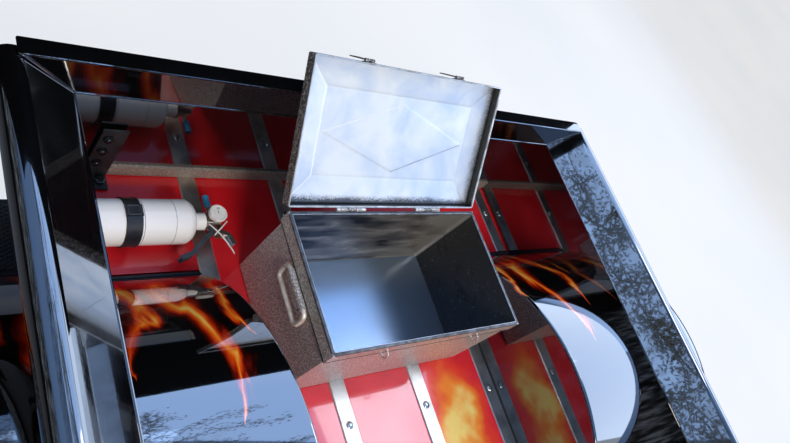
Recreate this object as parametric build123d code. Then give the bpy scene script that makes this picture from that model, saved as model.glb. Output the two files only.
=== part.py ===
from build123d import *
from math import asin, atan2, cos, degrees, hypot, radians, sin, sqrt
import os

# Load bed of a pickup truck: millimetres, x to the truck's right, y to its front, z up.
# All pieces are drawn with y = 0 at the front panel and z = 0 at the plank tops, and moved
# as they are written, so that the origin is the middle of the frame bolts, under the sills.

# Bed box
bed_width = 1200        # between the side walls
bed_length = 1600       # front panel to the planks' rear end and the tailgate
wall_height = 257       # plank tops to the crease where the side flares out
wall_depth = 110        # side walls below the plank tops
sheet = 3               # panel thickness
rail_radius = 26        # rolled top rail
rail_out = 93.5         # centre of the rail outside the wall's inner face
rail_up = 35.4          # centre of the rail above the crease
rail_gap_end = 215      # degrees at which the roll starts, under the flare
panel_flange = 25       # foot of the front panel, turned to the front
header_height = 64      # box rail across the top of the front panel
header_lip = 20         # its lower edge, inside the front panel
header_lean = 7         # how far its inner face leans to the front
header_depth = 44
header_round = 12
foot_bar_height = 32    # flat bar along the foot of the front panel
foot_bar_depth = 6

# Floor
plank_thickness = 19
strip_width = 38
strip_height = 3
strip_rib = 8           # rib of a strip, in the gap between two planks
strip_rib_depth = 10
plank_gap = 12
strip_pitch = 211       # middle planks
outer_strip_x = 317.5   # strips beside the wheel tubs
edge_strip_inset = 29   # edge strip's middle, from the side wall

# Cross sills, hat section with the crown down
sill_first = 93         # first sill's middle behind the front panel
sill_pitch = 474
sill_count = 4
sill_height = 50
sill_crown = 50
sill_flange = 15
sill_sheet = 4
frame_bolt_spread = 560 # across the truck's frame rails
frame_bolt_hole = 13
rear_bar_sheet = 4
rear_bar_foot = 30
sill_round = 4

# Wheel tubs, fenders and steps
axle_down = 190         # rear axle's middle below the plank tops
tub_radius = 428        # round the axle
tub_front = 221.5       # tub's foot on the planks behind the front panel
tub_inner_x = 338
tub_edge_round = 6
fender_gap = 17         # fender's top outside the tub's
fender_width = 302      # outside the side wall
fender_shoulder = 70
fender_opening = 355
fender_lip = 14
fender_sweep = 204      # degrees of arc that the fender covers
step_top = 95           # step's tread below the plank tops
step_width = 240
step_front = 6
step_gap = 6            # between the step and the fender
step_flange = 28
step_turn = 15          # inner edge of the step, turned down

# Tailgate
gate_side_gap = 5
gate_front_gap = 7
gate_thickness = 18
gate_border = 42
gate_recess = 4
gate_recess_round = 20
gate_recess_taper = 30
gate_roll = 11          # bottom roll, round the hinge line
gate_pin = 8
gate_axis_down = 12     # hinge line below the plank tops
gate_axis_out = 3       # hinge line behind the middle of the gate
post_width = 36
post_depth = 46
post_round = 8
bore_clearance = 0.06

# Toolbox
box_middle_x = -6.5
box_width = 495
box_front = 204         # rear face of the box's rim, behind the front panel
box_depth = 276
box_height = 217
box_sheet = 2
band_height = 30        # rim band
band_proud = 4
lid_height = 24
lid_gap = 1
lid_open_angle = 132.6
lid_round = 3
lid_stamp_rise = 6      # hipped panel pressed up out of the lid
lid_stamp_inset = 54    # flat field of that panel, inside the lid's outline
hinge_spread = 208
hinge_width = 72
hinge_knuckle = 3.5
hinge_pin = 1.6
hinge_leaf = 1.5
hinge_leaf_inset = 4    # leaves' edges from the edges of the band and the lid
knuckle_gap = 0.4
pin_clearance = 0.05
hasp_spread = 242
hasp_width = 22
hasp_length = 53
hasp_slot_width = 9
hasp_slot_length = 25
hasp_end = 8            # beyond the slot
hasp_round = 6
hasp_sheet = 2
hasp_seat = 16          # height of its leaf on the lid
hasp_knuckle = 3
hasp_pin = 1.4
staple_rod = 3.5
staple_reach = 13
staple_rise = 18
staple_bend = 7
handle_back = 138       # handle's middle behind the box's rear edge
handle_drop = 37        # handle's hinge tube below the rim
handle_out = 9          # and outside the box's wall
handle_length = 105     # between the bail's legs
handle_fall = 40
handle_rod = 9.5
handle_bend = 12
handle_tube = 6.6
handle_tube_length = 80
handle_rod_inside = 14  # each end of the bail, inside the tube
handle_plate_height = 32
handle_plate = 2

# Fire extinguisher, lying across the bed
ext_radius = 42.8
ext_back = 132          # its middle line behind the front panel
ext_seat = 3.5          # its underside above the plank tops
ext_end_x = -590
ext_shoulder_x = -372
ext_foot_round = 8
ext_dome = 19           # length of the dome, shoulder to neck
ext_neck_x = -330
ext_neck_radius = 17
ext_collar = 1.2        # ring nut proud of the neck
ext_collar_length = 4
ext_valve_x = -312
ext_valve_length = 34
ext_valve_radius = 13
ext_valve_round = 3
gauge_radius = 17
gauge_thickness = 9
gauge_rise = 30         # gauge's middle above the valve's
gauge_lean = 0          # degrees, towards the rear
gauge_stem = 6
nozzle_radius = 6
nozzle_length = 26
nozzle_stub = 4.5
nozzle_bore = 3
nozzle_reach = 56       # nozzle's mouth in front of the valve's middle
yoke_width = 30
yoke_depth = 11
yoke_height = 12
lever_width = 16        # bent channels of the levers
lever_depth = 9
lever_sheet = 1.6
lever_bend = 14
lever_pin_radius = 2.4
ear_gap = 0.3
ear_width = 10
strap_x = -476.5
strap_width = 29
strap_sheet = 1.8
strap_clearance = 0.3
strap_foot = 16         # half length of the saddle under the strap
buckle_length = 22
buckle_rise = 3.4
buckle_proud = 0.6

# Front corner bracket
bracket_x = -502
bracket_width = 44
bracket_foot = 34
bracket_rise = 150
bracket_sheet = 4
bracket_bolt = 6
bracket_bolt_reach = 8
bracket_bolt_aside = 8
bracket_bolts = (0.35, 0.6, 0.85)  # up the bracket, as shares of its rise

# Values that follow
half = bed_width / 2
wall_out = half + sheet
sill_top = -plank_thickness
sill_bottom = sill_top - sill_height
mount_y = -(sill_first + sill_pitch * (sill_count - 1) / 2)
rail_x = half + rail_out
rail_z = wall_height + rail_up
flare_angle = degrees(atan2(rail_up, rail_out) + asin(rail_radius / hypot(rail_up, rail_out)))
gate_axis_y = -(bed_length + gate_front_gap + gate_thickness / 2 + gate_axis_out)
gate_axis_z = -gate_axis_down
wall_end = gate_axis_y - gate_thickness / 2 - gate_front_gap
axle_y = -(tub_front + sqrt(tub_radius ** 2 - axle_down ** 2))
axle_z = -axle_down
fender_radius = tub_radius + fender_gap
box_rear = -box_front
box_rim_front = box_rear - box_depth
box_left = box_middle_x - box_width / 2
box_right = box_middle_x + box_width / 2
hinge_y = box_rear + hinge_leaf + hinge_knuckle - 1
hinge_z = box_height + lid_gap / 2
hasp_y = box_rim_front - hinge_leaf - 3
hasp_z = box_height + lid_gap + lid_height / 2
ext_z = ext_seat + ext_radius
yoke_rear = -ext_back - ext_valve_radius - yoke_depth

sides = (("left", -1), ("right", 1))


def span(x, y, z):
    """A block from low to high along each axis."""
    return Pos((x[0] + x[1]) / 2, (y[0] + y[1]) / 2, (z[0] + z[1]) / 2) * Box(
        x[1] - x[0], y[1] - y[0], z[1] - z[0])


def rod_x(x, y, z, radius):
    """A round bar along x, from x[0] to x[1]."""
    return Pos((x[0] + x[1]) / 2, y, z) * Rot(0, 90, 0) * Cylinder(radius, x[1] - x[0])


def rod_y(x, y, z, radius):
    """A round bar along y, from y[0] to y[1]."""
    return Pos(x, (y[0] + y[1]) / 2, z) * Rot(90, 0, 0) * Cylinder(radius, y[1] - y[0])


def on_side(piece, side):
    """The right-hand piece, or its mirror image for the left."""
    return piece if side > 0 else mirror(piece, about=Plane.YZ)


# Side: wall, flare and rolled rail as one bent sheet
def side_panel():
    slope = (cos(radians(flare_angle)), sin(radians(flare_angle)))
    down = (slope[1] * sheet, -slope[0] * sheet)
    tangent = (rail_x - rail_radius * slope[1], rail_z + rail_radius * slope[0])
    wall = Pos(half + sheet / 2, (wall_height - wall_depth) / 2) * Rectangle(
        sheet, wall_height + wall_depth)
    flare = Polygon((half, wall_height), tangent,
                    (tangent[0] + down[0], tangent[1] + down[1]),
                    (half + sheet, wall_height - sheet * slope[1]),
                    (half + sheet, wall_height - 2 * sheet), (half, wall_height - 2 * sheet),
                    align=None)
    reach = 2 * rail_radius
    gap = [(rail_x, rail_z)] + [
        (rail_x + reach * cos(radians(a)), rail_z + reach * sin(radians(a)))
        for a in (90 + flare_angle, (90 + flare_angle + rail_gap_end) / 2, rail_gap_end)]
    roll = Pos(rail_x, rail_z) * (Circle(rail_radius) - Circle(rail_radius - sheet))
    roll -= Polygon(*gap, align=None)
    front = Plane.XZ.offset(-sheet)
    strips = [extrude(front * part, amount=sheet - wall_end, dir=(0, -1, 0))
              for part in (wall, flare, roll)]
    panel = strips[0] + strips[1] + strips[2]
    panel -= rod_x((half - 1, wall_out + 1), axle_y, axle_z, tub_radius - sheet)
    panel -= rod_x((half - 1, wall_out + 1), gate_axis_y, gate_axis_z, gate_pin + bore_clearance)
    return panel


# Post at the side's rear end, with the tailgate's bearing
def rear_post():
    post = span((wall_out, wall_out + post_width), (wall_end, wall_end + post_depth),
                (-wall_depth, wall_height - 4 * sheet))
    post -= rod_x((wall_out - 1, wall_out + post_width / 2), gate_axis_y, gate_axis_z,
                  gate_pin + bore_clearance)
    return fillet(post.edges().filter_by(Axis.Z).sort_by(Axis.X)[-2:], post_round)


# Front panel and the box rail across its top
def front_panel():
    panel = span((-half, half), (0, sheet), (-wall_depth, wall_height))
    flange = span((-half, half), (sheet, sheet + panel_flange), (-wall_depth, sheet - wall_depth))
    return panel + flange


def front_header():
    top = wall_height + header_height
    profile = Polygon((-header_lip, wall_height), (header_depth - header_lip, wall_height),
                      (header_depth - header_lip, top), (header_lean - header_lip, top),
                      align=None)
    profile = fillet(profile.vertices().sort_by(Axis.Y)[-2:].sort_by(Axis.X)[-1], header_round)
    length = 2 * rail_x
    bar = extrude(Plane.YZ.offset(-rail_x) * profile, amount=length)
    slope = sin(radians(flare_angle)) / cos(radians(flare_angle))
    end_x = half + header_height / slope
    front_view = Polygon((-half, wall_height), (half, wall_height), (end_x, top), (-end_x, top),
                         align=None)
    nest = extrude(Plane.XZ.offset(-2 * header_depth) * front_view, amount=4 * header_depth)
    roll_room = [rod_y(s * rail_x, (-2 * header_depth, 2 * header_depth), rail_z, rail_radius)
                 for _, s in sides]
    return (bar & nest) - roll_room[0] - roll_room[1]


def front_foot_bar():
    return span((-half, half), (-foot_bar_depth, 0), (strip_height, foot_bar_height))


# Floor
strip_table = (  # name, middle x
    ("strip_left_edge", -(half - edge_strip_inset)),
    ("strip_left_tub", -outer_strip_x),
    ("strip_left_middle", -strip_pitch / 2),
    ("strip_right_middle", strip_pitch / 2),
    ("strip_right_tub", outer_strip_x),
    ("strip_right_edge", half - edge_strip_inset),
)


def tub_notch(side, spare=0):
    """Room for one wheel tub, down through the floor."""
    reach = sqrt(tub_radius ** 2 - (axle_down - plank_thickness) ** 2) + spare
    x = sorted((side * (tub_inner_x - spare), side * (half + 1)))
    return span(x, (axle_y - reach, axle_y + reach), (-2 * plank_thickness, 2 * strip_height))


def floor_planks():
    seams = [-half] + [x for _, x in strip_table[1:-1]] + [half]
    planks = {}
    for i, (low, high) in enumerate(zip(seams, seams[1:])):
        x = (low + (0 if i == 0 else plank_gap / 2),
             high - (0 if i == len(seams) - 2 else plank_gap / 2))
        plank = span(x, (-(bed_length - rear_bar_sheet), -0.3), (-plank_thickness, 0))
        for _, side in sides:
            plank -= tub_notch(side, 0.3)
        planks[f"plank_{i + 1}"] = plank
    return planks


def floor_strip(x):
    rear = -(bed_length - rear_bar_sheet)
    edge = abs(x) > outer_strip_x
    strip = span((x - strip_width / 2, x + strip_width / 2), (rear, -foot_bar_depth - 0.3),
                 (0, strip_height))
    strip = chamfer(strip.edges().filter_by(Axis.Y).group_by(Axis.Z)[-1], strip_height * 0.6)
    if edge:
        return strip - tub_notch(1, 0.3) - tub_notch(-1, 0.3)
    return strip + span((x - strip_rib / 2, x + strip_rib / 2), (rear, -foot_bar_depth - 0.3),
                        (-strip_rib_depth, strip_height / 2))


def cross_sill(index):
    y = -(sill_first + index * sill_pitch)
    reach = sqrt(tub_radius ** 2 - axle_down ** 2)
    beside_tub = abs(y - axle_y) < reach
    length = tub_inner_x - 2 if beside_tub else half
    outer = Rectangle(sill_crown, sill_height) + Pos(0, (sill_height - sill_sheet) / 2) * Rectangle(
        sill_crown + 2 * sill_flange, sill_sheet)
    inner = Pos(0, sill_sheet / 2) * Rectangle(
        sill_crown - 2 * sill_sheet, sill_height - sill_sheet)
    middle = (sill_top + sill_bottom) / 2
    sill = extrude(Plane.YZ.offset(-length) * Pos(y, middle) * (outer - inner), amount=2 * length)
    sill = fillet(sill.edges().filter_by(Axis.X).group_by(Axis.Z)[0], sill_round)
    for side in (-1, 1):
        sill -= Pos(side * frame_bolt_spread / 2, y, sill_bottom) * Cylinder(
            frame_bolt_hole / 2, 4 * sill_sheet)
    return sill


def rear_bar():
    """Angle across the planks' rear ends."""
    y = -bed_length
    upright = span((-half, half), (y, y + rear_bar_sheet), (sill_bottom, 0))
    foot = span((-half, half), (y, y + rear_bar_foot), (sill_bottom, sill_bottom + rear_bar_sheet))
    return upright + foot


# Wheel tubs
def wheel_tub():
    width = half - tub_inner_x
    outside = extrude(Plane.YZ.offset(tub_inner_x) * Pos(axle_y, axle_z) * Circle(tub_radius),
                      amount=width)
    outside = fillet(outside.edges().sort_by(Axis.X)[0], tub_edge_round)
    inside = extrude(Plane.YZ.offset(tub_inner_x + sheet) * Pos(axle_y, axle_z)
                     * Circle(tub_radius - sheet), amount=width)
    below = span((0, 2 * half), (axle_y - 2 * tub_radius, axle_y + 2 * tub_radius),
                 (axle_z - 2 * tub_radius, -plank_thickness))
    return outside - inside - below


# Fenders and steps
def fender():
    def shoulder(width, radius, bend):
        shape = Pos(wall_out + width / 2, (radius + fender_opening) / 2) * Rectangle(
            width, radius - fender_opening)
        corner = shape.vertices().sort_by(Axis.X)[-2:].sort_by(Axis.Y)[-1]
        return fillet(corner, min(bend, 0.95 * (radius - fender_opening)))

    skin = shoulder(fender_width, fender_radius, fender_shoulder)
    skin -= shoulder(fender_width - sheet, fender_radius - sheet, fender_shoulder - sheet)
    skin += Pos(wall_out + fender_width - fender_lip / 2, fender_opening + sheet / 2) * Rectangle(
        fender_lip, sheet)
    axle = Axis((0, axle_y, axle_z), (1, 0, 0))
    upright = Plane((0, axle_y, axle_z), x_dir=(1, 0, 0), z_dir=(0, -1, 0))
    shell = revolve(upright * skin, axis=axle, revolution_arc=fender_sweep)
    return shell.rotate(axle, -fender_sweep / 2)


def side_step():
    top = -step_top
    rear = axle_y + sqrt(fender_radius ** 2 - (axle_down - step_top - step_flange) ** 2) + step_gap
    x = (wall_out, wall_out + step_width)
    y = (rear, -step_front)
    step = span(x, y, (top - sheet, top))
    step += span((x[1] - sheet, x[1]), y, (top - step_flange, top))
    step += span((x[0], x[0] + sheet), y, (top - step_turn, top))
    return fillet(step.edges().filter_by(Axis.Y).group_by(Axis.Z)[-1].sort_by(Axis.X)[-1], sheet)


# Tailgate
def tailgate():
    width = bed_width - 2 * gate_side_gap
    middle = gate_axis_y + gate_axis_out
    y = (middle - gate_thickness / 2, middle + gate_thickness / 2)
    gate = span((-width / 2, width / 2), y, (gate_axis_z, wall_height))
    gate = fillet(gate.edges().filter_by(Axis.X).group_by(Axis.Z)[-1], gate_thickness / 2.5)
    field = (wall_height + gate_axis_z) / 2
    for face, sign in ((y[0], 1), (y[1], -1)):
        plate = Plane((0, face, field), x_dir=(1, 0, 0), z_dir=(0, sign, 0))
        recess = plate * RectangleRounded(width - 2 * gate_border,
                                          wall_height - gate_axis_z - 2 * gate_border,
                                          gate_recess_round)
        gate -= extrude(recess, amount=gate_recess, taper=gate_recess_taper)
    gate += rod_x((-width / 2, width / 2), gate_axis_y, gate_axis_z, gate_roll)
    for _, side in sides:
        ends = sorted((side * (width / 2 - 1), side * (wall_out + post_width / 2 - 3)))
        gate += rod_x(ends, gate_axis_y, gate_axis_z, gate_pin)
    return gate


# Toolbox
def toolbox_body():
    x = (box_left + band_proud, box_right - band_proud)
    y = (box_rim_front + band_proud, box_rear - band_proud)
    bottom = strip_height
    body = span(x, y, (bottom, box_height))
    body += span((box_left, box_right), (box_rim_front, box_rear),
                 (box_height - band_height, box_height))
    body -= span((x[0] + box_sheet, x[1] - box_sheet), (y[0] + box_sheet, y[1] - box_sheet),
                 (bottom + box_sheet, box_height + 1))
    for side in (-1, 1):
        body += hinge_knuckles(side)
        body += staple(side)
        body += handle_bracket(side)
    return body


def hinge_knuckles(side):
    """The two outer knuckles and the leaf of one lid hinge, on the box."""
    x = box_middle_x + side * hinge_spread / 2
    third = hinge_width / 3
    leaf = span((x - hinge_width / 2, x + hinge_width / 2), (box_rear, box_rear + hinge_leaf),
                (box_height - band_height + hinge_leaf_inset, box_height - hinge_leaf_inset))
    for end in (-1, 1):
        inner, outer = x + end * (third / 2 + knuckle_gap), x + end * hinge_width / 2
        leaf += span(sorted((inner, outer)), (box_rear, box_rear + hinge_leaf),
                     (box_height - 2 * hinge_leaf_inset, hinge_z))
        leaf += rod_x(sorted((inner, outer)), hinge_y, hinge_z, hinge_knuckle)
    return leaf - rod_x((x - hinge_width, x + hinge_width), hinge_y, hinge_z,
                        hinge_pin + pin_clearance)


def staple(side):
    """U-shaped staple on the rim band, for one hasp."""
    x = box_middle_x + side * hasp_spread / 2
    z = box_height - band_height + staple_rise / 2 + 1
    y = box_rim_front
    path = FilletPolyline((x, y + 0.5, z - staple_rise / 2), (x, y - staple_reach, z - staple_rise / 2),
                          (x, y - staple_reach, z + staple_rise / 2), (x, y + 0.5, z + staple_rise / 2),
                          radius=staple_bend)
    return sweep(Plane(origin=path @ 0, z_dir=path % 0) * Circle(staple_rod / 2), path=path)


def handle_place(side):
    """Hinge line of one handle: x and z."""
    wall = (box_right - band_proud) if side > 0 else (box_left + band_proud)
    return wall, wall + side * handle_out, box_height - handle_drop


def handle_bracket(side):
    wall, x, z = handle_place(side)
    y = box_rear - handle_back
    reach = handle_tube_length / 2
    plate = span(sorted((wall, wall + side * handle_plate)), (y - reach, y + reach),
                 (z - handle_plate_height, z + handle_tube * 0.6))
    web = span(sorted((wall, x)), (y - reach, y + reach), (z - handle_tube * 0.5, z + handle_tube * 0.5))
    tube = rod_y(x, (y - reach, y + reach), z, handle_tube)
    bore = rod_y(x, (y - 2 * reach, y + 2 * reach), z, handle_rod / 2 + pin_clearance)
    return plate + web + tube - bore


def handle_bail(side):
    _, x, z = handle_place(side)
    y = box_rear - handle_back
    arm = handle_length / 2
    start = handle_tube_length / 2 - handle_rod_inside
    path = FilletPolyline((x, y - start, z), (x, y - arm, z), (x, y - arm, z - handle_fall),
                          (x, y + arm, z - handle_fall), (x, y + arm, z), (x, y + start, z),
                          radius=handle_bend)
    return sweep(Plane(origin=path @ 0, z_dir=path % 0) * Circle(handle_rod / 2), path=path)


def open_lid(piece):
    """Turn a piece from the shut lid's place to the open lid's."""
    return piece.rotate(Axis((0, hinge_y, hinge_z), (1, 0, 0)), -lid_open_angle)


def hipped_panel(inset, z):
    """Low hipped rise on the lid, from a rectangle inside its outline to the flat field."""
    middle = Pos(box_middle_x, (box_rear + box_rim_front) / 2)
    foot = middle * Pos(0, 0, z) * Rectangle(box_width - 2 * inset, box_depth - 2 * inset)
    field = middle * Pos(0, 0, z + lid_stamp_rise) * Rectangle(
        box_width - 2 * lid_stamp_inset, box_depth - 2 * lid_stamp_inset)
    return loft([foot, field])


def toolbox_lid():
    base = box_height + lid_gap
    top = base + lid_height
    lid = span((box_left, box_right), (box_rim_front, box_rear), (base, top))
    lid = fillet(lid.edges().filter_by(Axis.Z) + lid.edges().group_by(Axis.Z)[-1], lid_round)
    lid += hipped_panel(lid_round + box_sheet, top)
    lid -= span((box_left + box_sheet, box_right - box_sheet),
                (box_rim_front + box_sheet, box_rear - box_sheet),
                (base - 1, top - box_sheet))
    lid -= hipped_panel(lid_round + box_sheet, top - box_sheet)
    for side in (-1, 1):
        x = box_middle_x + side * hinge_spread / 2
        knuckle = (x - hinge_width / 6, x + hinge_width / 6)
        lid += span((x - hinge_width / 2, x + hinge_width / 2), (box_rear, box_rear + hinge_leaf),
                    (base + hinge_leaf_inset, top - hinge_leaf_inset))
        lid += span(knuckle, (box_rear, box_rear + hinge_leaf),
                    (hinge_z, base + 2 * hinge_leaf_inset))
        lid += rod_x(knuckle, hinge_y, hinge_z, hinge_knuckle)
        lid += rod_x((x - hinge_width / 2, x + hinge_width / 2), hinge_y, hinge_z, hinge_pin)
        hasp_x = box_middle_x + side * hasp_spread / 2
        lid += span((hasp_x - hasp_width / 2, hasp_x + hasp_width / 2),
                    (box_rim_front - hinge_leaf, box_rim_front),
                    (hasp_z - hasp_seat / 2, hasp_z + hasp_seat / 2))
        for end in (-1, 1):
            ends = sorted((hasp_x + end * hasp_width / 4, hasp_x + end * hasp_width / 2))
            lid += span(ends, (hasp_y, box_rim_front), (hasp_z - hasp_sheet, hasp_z + hasp_sheet))
            lid += rod_x(ends, hasp_y, hasp_z, hasp_knuckle)
        lid += rod_x((hasp_x - hasp_width / 2, hasp_x + hasp_width / 2), hasp_y, hasp_z, hasp_pin)
    return open_lid(lid)


def hasp(side):
    """Slotted strap, folded back from its staple by half a turn."""
    x = box_middle_x + side * hasp_spread / 2
    y = (hasp_y - hasp_sheet / 2, hasp_y + hasp_sheet / 2)
    slot_top = hasp_z + hasp_length - hasp_end
    strap = span((x - hasp_width / 2, x + hasp_width / 2), y,
                 (hasp_z + hasp_knuckle + 1, hasp_z + hasp_length))
    strap = fillet(strap.edges().filter_by(Axis.Y).group_by(Axis.Z)[-1], hasp_round)
    strap -= span((x - hasp_slot_width / 2, x + hasp_slot_width / 2), (y[0] - 1, y[1] + 1),
                  (slot_top - hasp_slot_length, slot_top))
    tongue = (x - hasp_width / 4 + knuckle_gap, x + hasp_width / 4 - knuckle_gap)
    strap += span(tongue, y, (hasp_z, hasp_z + hasp_knuckle + 1))
    strap += rod_x(tongue, hasp_y, hasp_z, hasp_knuckle)
    strap -= rod_x((x - hasp_width, x + hasp_width), hasp_y, hasp_z, hasp_pin + pin_clearance)
    return open_lid(strap)


# Fire extinguisher
def extinguisher_cylinder():
    r, neck = ext_radius, ext_neck_radius
    dome_end = ext_shoulder_x + ext_dome
    bulge = (ext_shoulder_x + 0.8 * ext_dome, neck + 0.6 * (r - neck))
    outline = make_face(Wire([
        Line((ext_end_x, 0), (ext_end_x, r - ext_foot_round)),
        JernArc((ext_end_x, r - ext_foot_round), (0, 1), ext_foot_round, -90),
        Line((ext_end_x + ext_foot_round, r), (ext_shoulder_x, r)),
        ThreePointArc((ext_shoulder_x, r), bulge, (dome_end, neck)),
        Line((dome_end, neck), (ext_neck_x, neck)),
        Line((ext_neck_x, neck), (ext_neck_x, 0)),
        Line((ext_neck_x, 0), (ext_end_x, 0))]))
    solid = revolve(Plane.XZ * outline, axis=Axis.X, revolution_arc=360)
    return Pos(0, -ext_back, ext_z) * solid


def extinguisher_valve():
    """Turned body with its ring nut, the gauge on a stem, the nozzle and the levers' yoke."""
    y = -ext_back
    body = rod_x((ext_neck_x, ext_neck_x + ext_valve_length), y, ext_z, ext_valve_radius)
    body = fillet(body.edges().sort_by(Axis.X)[-1], ext_valve_round)
    body += rod_x((ext_neck_x, ext_neck_x + ext_collar_length), y, ext_z,
                  ext_neck_radius + ext_collar)
    stem = Pos(ext_valve_x, y, ext_z) * Rot(gauge_lean, 0, 0)
    body += stem * Pos(0, 0, gauge_rise / 2) * Cylinder(gauge_stem, gauge_rise)
    dial = Pos(0, 0, gauge_rise) * Cylinder(gauge_radius, gauge_thickness)
    body += stem * fillet(dial.edges().group_by(Axis.Z)[-1], gauge_thickness / 6)
    mouth = y + nozzle_reach
    body += rod_y(ext_valve_x, (y, mouth - nozzle_length), ext_z, nozzle_stub)
    body += rod_y(ext_valve_x, (mouth - nozzle_length, mouth), ext_z, nozzle_radius)
    body -= rod_y(ext_valve_x, (mouth - nozzle_length, mouth + 1), ext_z, nozzle_bore)
    body += span((ext_valve_x - yoke_width / 2, ext_valve_x + yoke_width / 2), (yoke_rear, y),
                 (ext_z - yoke_height / 2, ext_z + yoke_height / 2))
    for _, side in sides:
        body -= lever_pin(side, lever_pin_radius + pin_clearance)
    return body


def lever_pin(side, radius):
    """Upright pin on which one lever hangs in the yoke."""
    return Pos(ext_valve_x + side * yoke_width / 4, yoke_rear + yoke_depth / 2, ext_z) * Cylinder(
        radius, lever_width)


def lever(side, steps):
    """A bent channel along the given steps from the yoke, with two ears and its pin."""
    x, y = ext_valve_x + side * yoke_width / 4, yoke_rear - lever_depth / 2
    path = FilletPolyline(*[(x + dx, y + dy, ext_z) for dx, dy in steps], radius=lever_bend)
    section = Rectangle(lever_width, lever_depth) - Pos(0, lever_sheet) * Rectangle(
        lever_width - 2 * lever_sheet, lever_depth)
    plane = Plane(origin=path @ 0, x_dir=(0, 0, 1), z_dir=path % 0)
    channel = sweep(plane * section, path=path) + lever_pin(side, lever_pin_radius)
    for end in (-1, 1):
        z = sorted((ext_z + end * (yoke_height / 2 + ear_gap), ext_z + end * lever_width / 2))
        channel += span((x - ear_width / 2, x + ear_width / 2),
                        (y - lever_depth / 2, yoke_rear + yoke_depth / 2 + ear_width / 2), z)
    return channel


squeeze_steps = [(0, 0), (-16, -10), (-50, -41), (-74, -50)]
handle_steps = [(0, 0), (18, -1), (25, -24)]


def extinguisher_strap():
    """Band round the bottle, its buckle and the saddle under it."""
    inner = ext_radius + strap_clearance
    x = (strap_x - strap_width / 2, strap_x + strap_width / 2)
    band = rod_x(x, -ext_back, ext_z, inner + strap_sheet)
    saddle = span(x, (-ext_back - strap_foot, -ext_back + strap_foot), (0, ext_z - inner / 2))
    buckle = span((x[0] - buckle_proud, x[1] + buckle_proud),
                  (-ext_back - buckle_length / 2, -ext_back + buckle_length / 2),
                  (ext_z, ext_z + inner + buckle_rise))
    return band + saddle + buckle - rod_x((x[0] - 2 * buckle_proud, x[1] + 2 * buckle_proud),
                                          -ext_back, ext_z, inner)


# Corner bracket on the front panel and the floor
def corner_bracket():
    x = (bracket_x - bracket_width / 2, bracket_x + bracket_width / 2)
    face = -foot_bar_depth
    plate = span(x, (face - bracket_foot, face), (strip_height, strip_height + bracket_sheet))
    plate += span(x, (face - bracket_sheet, face), (strip_height, bracket_rise))
    for share in bracket_bolts:
        plate += rod_y(bracket_x - bracket_bolt_aside, (face - bracket_sheet - bracket_bolt_reach, face),
                       bracket_rise * share, bracket_bolt)
    plate += Pos(bracket_x + bracket_bolt_aside, face - bracket_foot / 2,
                 strip_height + bracket_sheet) * Cylinder(bracket_bolt, bracket_bolt_reach)
    return plate


def build():
    nodes = {"front_panel": front_panel(), "front_header": front_header(),
             "front_foot_bar": front_foot_bar(), "rear_bar": rear_bar(), "tailgate": tailgate(),
             "corner_bracket": corner_bracket()}
    nodes.update(floor_planks())
    for name, x in strip_table:
        nodes[name] = floor_strip(x)
    for i in range(sill_count):
        nodes[f"cross_sill_{i + 1}"] = cross_sill(i)
    makers = (("side_panel", side_panel), ("rear_post", rear_post), ("wheel_tub", wheel_tub),
              ("fender", fender), ("side_step", side_step))
    for name, maker in makers:
        piece = maker()
        for word, side in sides:
            nodes[f"{name}_{word}"] = on_side(piece, side)
    nodes["toolbox_body"] = toolbox_body()
    nodes["toolbox_lid"] = toolbox_lid()
    for word, side in sides:
        nodes[f"toolbox_hasp_{word}"] = hasp(side)
        nodes[f"toolbox_handle_{word}"] = handle_bail(side)
    nodes["extinguisher_cylinder"] = extinguisher_cylinder()
    nodes["extinguisher_valve"] = extinguisher_valve()
    nodes["extinguisher_levers"] = lever(1, handle_steps)
    nodes["extinguisher_squeeze_lever"] = lever(-1, squeeze_steps)
    nodes["extinguisher_strap"] = extinguisher_strap()
    to_mount = Pos(0, -mount_y, -sill_bottom)
    return {name: to_mount * piece for name, piece in nodes.items()}


os.makedirs("parts", exist_ok=True)
nodes = build()
for name, piece in nodes.items():
    export_step(piece, f"parts/{name}.step")
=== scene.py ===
import math

import bmesh
import bpy
import numpy as np
from mathutils import Matrix, Vector


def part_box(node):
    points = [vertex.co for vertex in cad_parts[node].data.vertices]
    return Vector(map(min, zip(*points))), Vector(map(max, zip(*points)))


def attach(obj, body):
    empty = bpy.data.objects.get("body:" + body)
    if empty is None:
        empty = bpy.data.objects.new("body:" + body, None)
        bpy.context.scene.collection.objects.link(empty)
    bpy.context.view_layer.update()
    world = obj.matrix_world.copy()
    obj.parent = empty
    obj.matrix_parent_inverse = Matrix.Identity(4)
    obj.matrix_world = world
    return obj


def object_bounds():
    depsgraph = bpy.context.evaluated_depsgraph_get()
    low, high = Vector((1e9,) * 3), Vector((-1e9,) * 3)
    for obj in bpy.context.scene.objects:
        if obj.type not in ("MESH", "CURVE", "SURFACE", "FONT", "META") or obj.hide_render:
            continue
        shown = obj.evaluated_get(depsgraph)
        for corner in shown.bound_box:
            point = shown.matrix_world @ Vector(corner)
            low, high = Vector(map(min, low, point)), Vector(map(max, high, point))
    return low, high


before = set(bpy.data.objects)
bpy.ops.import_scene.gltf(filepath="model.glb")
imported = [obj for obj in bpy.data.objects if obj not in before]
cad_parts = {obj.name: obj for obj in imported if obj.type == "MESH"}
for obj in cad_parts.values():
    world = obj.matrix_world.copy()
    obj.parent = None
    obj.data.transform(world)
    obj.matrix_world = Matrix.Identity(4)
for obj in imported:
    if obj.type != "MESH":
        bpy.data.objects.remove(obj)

cadBox = [list(corner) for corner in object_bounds()]

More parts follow.
